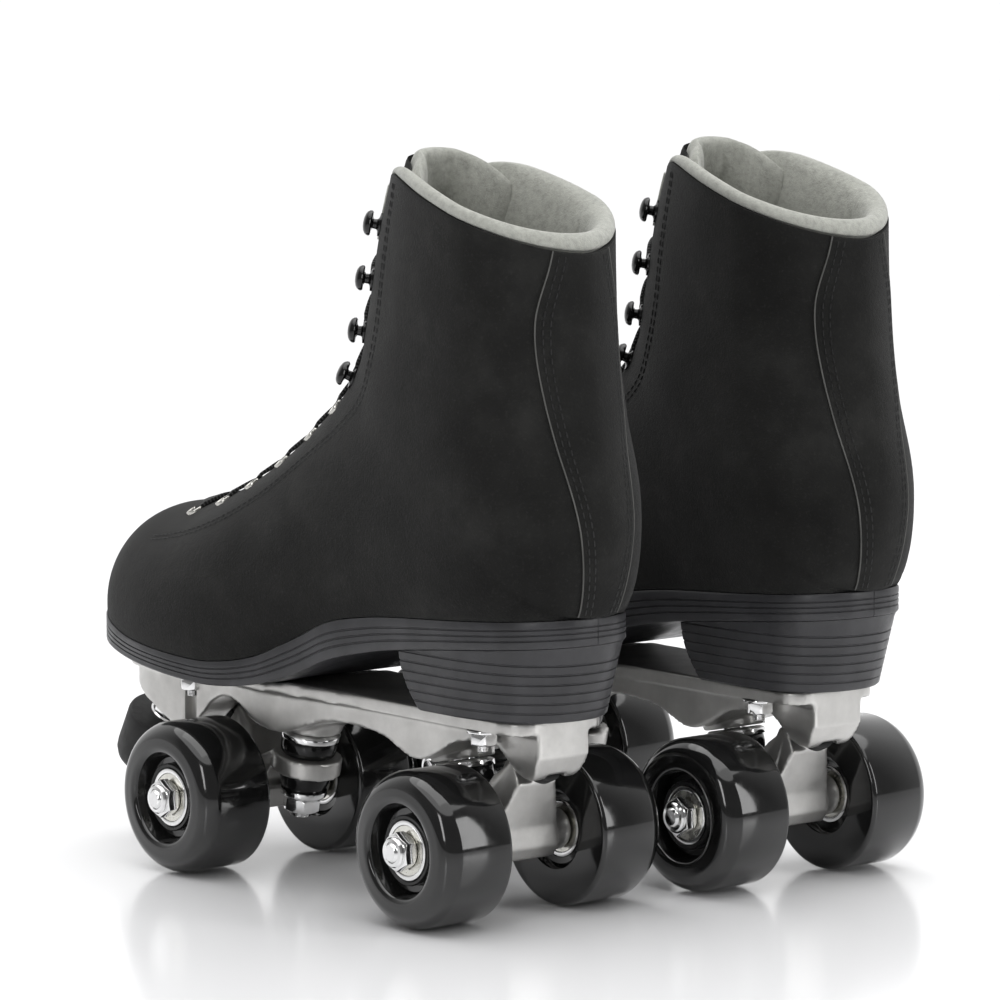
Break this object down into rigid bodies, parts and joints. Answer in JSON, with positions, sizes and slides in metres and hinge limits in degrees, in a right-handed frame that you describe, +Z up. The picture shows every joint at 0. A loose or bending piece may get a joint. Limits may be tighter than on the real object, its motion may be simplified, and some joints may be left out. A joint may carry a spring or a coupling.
{
  "type": "quad roller skates",
  "caption": "Pair of high-top lace-up quad roller skates: suede boots with a padded lining, alloy plates, sprung steering trucks, spinning wheels and toe stops.",
  "frame": {"origin": "on the floor, under the middle of the pair", "axes": "+X to the toes, +Y to the wearer's left, +Z up"},
  "size_m": [0.2974, 0.2372, 0.2809],
  "materials": {
    "suede": "napped black suede",
    "lining": "warm grey padded textile",
    "lace": "flat woven black polyester",
    "sole_rubber": "satin anthracite rubber",
    "alloy": "satin silver cast alloy",
    "steel": "bright plated steel",
    "cushion": "glossy black urethane",
    "urethane": "glossy black urethane",
    "stop_rubber": "matte black rubber"
  },
  "bodies": {
    "left_boot": {"left_boot_upper": "suede", "left_boot_lining": "lining", "left_tongue": "suede", "left_insole": "lining", "left_lace": "lace", "left_outsole": "sole_rubber", "left_heel": "sole_rubber", "left_plate": "alloy", "left_toe_stop_nut": "steel", "left_front_kingpin": "steel", "left_front_upper_cushion": "cushion", "left_front_lower_cushion": "cushion", "left_rear_kingpin": "steel", "left_rear_upper_cushion": "cushion", "left_rear_lower_cushion": "cushion"},
    "left_toe_stop": {"left_toe_stop": "stop_rubber"},
    "left_front_truck": {"left_front_hanger": "alloy", "left_front_outer_axle_nut": "steel", "left_front_inner_axle_nut": "steel"},
    "left_front_outer_wheel": {"left_front_outer_wheel": "urethane", "left_front_outer_bearings": "steel"},
    "left_front_inner_wheel": {"left_front_inner_wheel": "urethane", "left_front_inner_bearings": "steel"},
    "left_rear_truck": {"left_rear_hanger": "alloy", "left_rear_outer_axle_nut": "steel", "left_rear_inner_axle_nut": "steel"},
    "left_rear_outer_wheel": {"left_rear_outer_wheel": "urethane", "left_rear_outer_bearings": "steel"},
    "left_rear_inner_wheel": {"left_rear_inner_wheel": "urethane", "left_rear_inner_bearings": "steel"},
    "right_boot": {"right_boot_upper": "suede", "right_boot_lining": "lining", "right_tongue": "suede", "right_insole": "lining", "right_lace": "lace", "right_outsole": "sole_rubber", "right_heel": "sole_rubber", "right_plate": "alloy", "right_toe_stop_nut": "steel", "right_front_kingpin": "steel", "right_front_upper_cushion": "cushion", "right_front_lower_cushion": "cushion", "right_rear_kingpin": "steel", "right_rear_upper_cushion": "cushion", "right_rear_lower_cushion": "cushion"},
    "right_toe_stop": {"right_toe_stop": "stop_rubber"},
    "right_front_truck": {"right_front_hanger": "alloy", "right_front_outer_axle_nut": "steel", "right_front_inner_axle_nut": "steel"},
    "right_front_outer_wheel": {"right_front_outer_wheel": "urethane", "right_front_outer_bearings": "steel"},
    "right_front_inner_wheel": {"right_front_inner_wheel": "urethane", "right_front_inner_bearings": "steel"},
    "right_rear_truck": {"right_rear_hanger": "alloy", "right_rear_outer_axle_nut": "steel", "right_rear_inner_axle_nut": "steel"},
    "right_rear_outer_wheel": {"right_rear_outer_wheel": "urethane", "right_rear_outer_bearings": "steel"},
    "right_rear_inner_wheel": {"right_rear_inner_wheel": "urethane", "right_rear_inner_bearings": "steel"}
  },
  "joints": [
    {"name": "left_toe_stop_height", "type": "slide", "parent": "left_boot", "child": "left_toe_stop", "axis": [0.4067, 0, -0.9135], "range_m": [-0.0006, 0.008]},
    {"name": "left_front_truck_lean", "type": "hinge", "parent": "left_boot", "child": "left_front_truck", "pos_m": [0.04075, 0.0625, 0.0405], "axis": [0.9207, 0, 0.3903], "range_deg": [-6, 6], "stiffness_Nm_per_rad": 12, "deforming": ["left_front_upper_cushion", "left_front_lower_cushion"]},
    {"name": "left_front_outer_wheel_spin", "type": "hinge", "parent": "left_front_truck", "child": "left_front_outer_wheel", "pos_m": [0.06375, 0.0625, 0.029], "axis": [0, 1, 0], "continuous": true},
    {"name": "left_front_inner_wheel_spin", "type": "hinge", "parent": "left_front_truck", "child": "left_front_inner_wheel", "pos_m": [0.06375, 0.0625, 0.029], "axis": [0, 1, 0], "continuous": true},
    {"name": "left_rear_truck_lean", "type": "hinge", "parent": "left_boot", "child": "left_rear_truck", "pos_m": [-0.05625, 0.0625, 0.0405], "axis": [-0.9207, 0, 0.3903], "range_deg": [-6, 6], "stiffness_Nm_per_rad": 12, "deforming": ["left_rear_upper_cushion", "left_rear_lower_cushion"]},
    {"name": "left_rear_outer_wheel_spin", "type": "hinge", "parent": "left_rear_truck", "child": "left_rear_outer_wheel", "pos_m": [-0.07925, 0.0625, 0.029], "axis": [0, 1, 0], "continuous": true},
    {"name": "left_rear_inner_wheel_spin", "type": "hinge", "parent": "left_rear_truck", "child": "left_rear_inner_wheel", "pos_m": [-0.07925, 0.0625, 0.029], "axis": [0, 1, 0], "continuous": true},
    {"name": "right_skate_apart", "type": "slide", "parent": "left_boot", "child": "right_boot", "axis": [0, -1, 0], "range_m": [0, 0.3]},
    {"name": "right_toe_stop_height", "type": "slide", "parent": "right_boot", "child": "right_toe_stop", "axis": [0.4067, 0, -0.9135], "range_m": [-0.0006, 0.008]},
    {"name": "right_front_truck_lean", "type": "hinge", "parent": "right_boot", "child": "right_front_truck", "pos_m": [0.02875, -0.0625, 0.0405], "axis": [0.9207, 0, 0.3903], "range_deg": [-6, 6], "stiffness_Nm_per_rad": 12, "deforming": ["right_front_upper_cushion", "right_front_lower_cushion"]},
    {"name": "right_front_outer_wheel_spin", "type": "hinge", "parent": "right_front_truck", "child": "right_front_outer_wheel", "pos_m": [0.05175, -0.0625, 0.029], "axis": [0, 1, 0], "continuous": true},
    {"name": "right_front_inner_wheel_spin", "type": "hinge", "parent": "right_front_truck", "child": "right_front_inner_wheel", "pos_m": [0.05175, -0.0625, 0.029], "axis": [0, 1, 0], "continuous": true},
    {"name": "right_rear_truck_lean", "type": "hinge", "parent": "right_boot", "child": "right_rear_truck", "pos_m": [-0.06825, -0.0625, 0.0405], "axis": [-0.9207, 0, 0.3903], "range_deg": [-6, 6], "stiffness_Nm_per_rad": 12, "deforming": ["right_rear_upper_cushion", "right_rear_lower_cushion"]},
    {"name": "right_rear_outer_wheel_spin", "type": "hinge", "parent": "right_rear_truck", "child": "right_rear_outer_wheel", "pos_m": [-0.09125, -0.0625, 0.029], "axis": [0, 1, 0], "continuous": true},
    {"name": "right_rear_inner_wheel_spin", "type": "hinge", "parent": "right_rear_truck", "child": "right_rear_inner_wheel", "pos_m": [-0.09125, -0.0625, 0.029], "axis": [0, 1, 0], "continuous": true}
  ]
}
